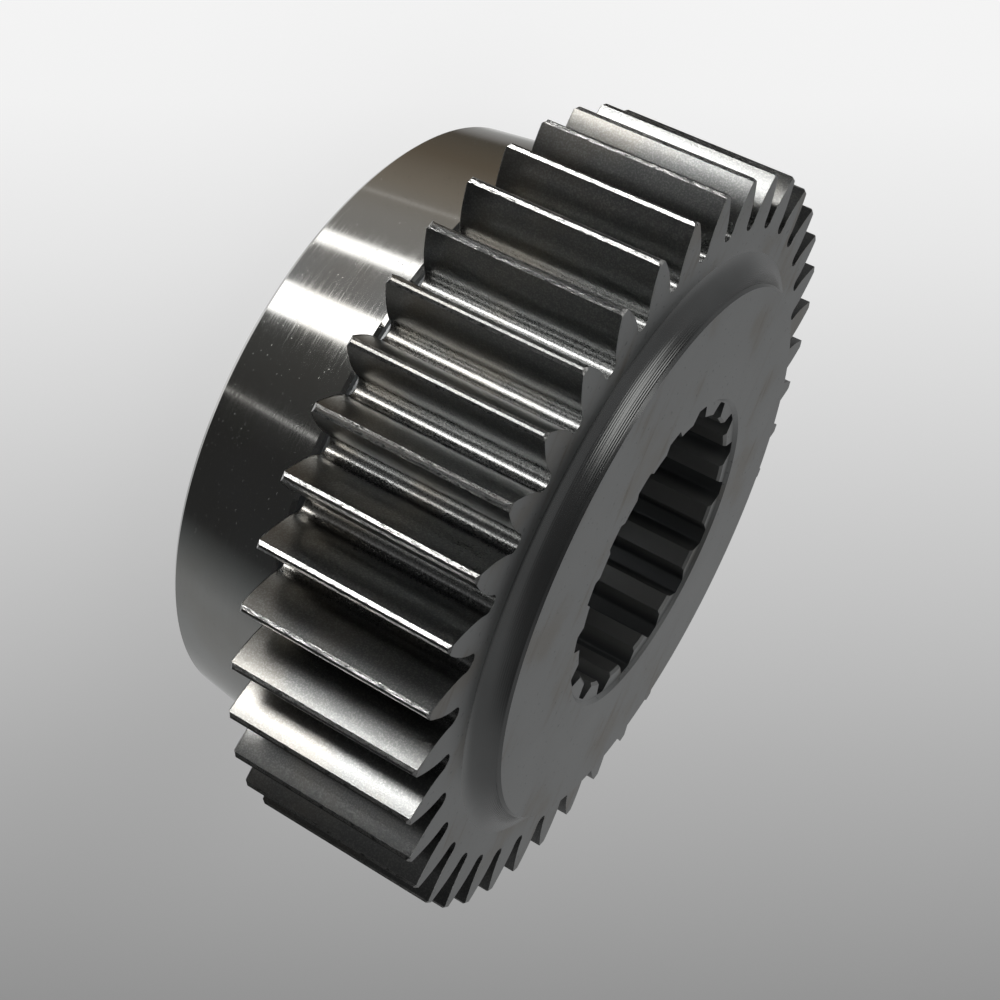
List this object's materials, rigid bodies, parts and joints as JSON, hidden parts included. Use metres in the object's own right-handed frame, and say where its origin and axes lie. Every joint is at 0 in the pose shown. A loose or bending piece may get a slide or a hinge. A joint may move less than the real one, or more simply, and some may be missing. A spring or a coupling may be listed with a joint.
{
  "type": "transmission gear",
  "caption": "One-piece steel transmission gear with straight outer teeth, a ground friction cone behind them, a raised boss in front and a splined through bore.",
  "frame": {"origin": "centre of the flat back face, at the small end of the friction cone, on the gear's axis", "axes": "+Z along the gear's axis from the back face to the boss, +X through the middle of one outer tooth, +Y a quarter turn on from +X"},
  "size_m": [0.1706, 0.1706, 0.0735],
  "materials": {
    "steel": "machined, with ground flanks and cone and a plain turned front face"
  },
  "bodies": {
    "root": {"gear": "steel"}
  },
  "joints": []
}
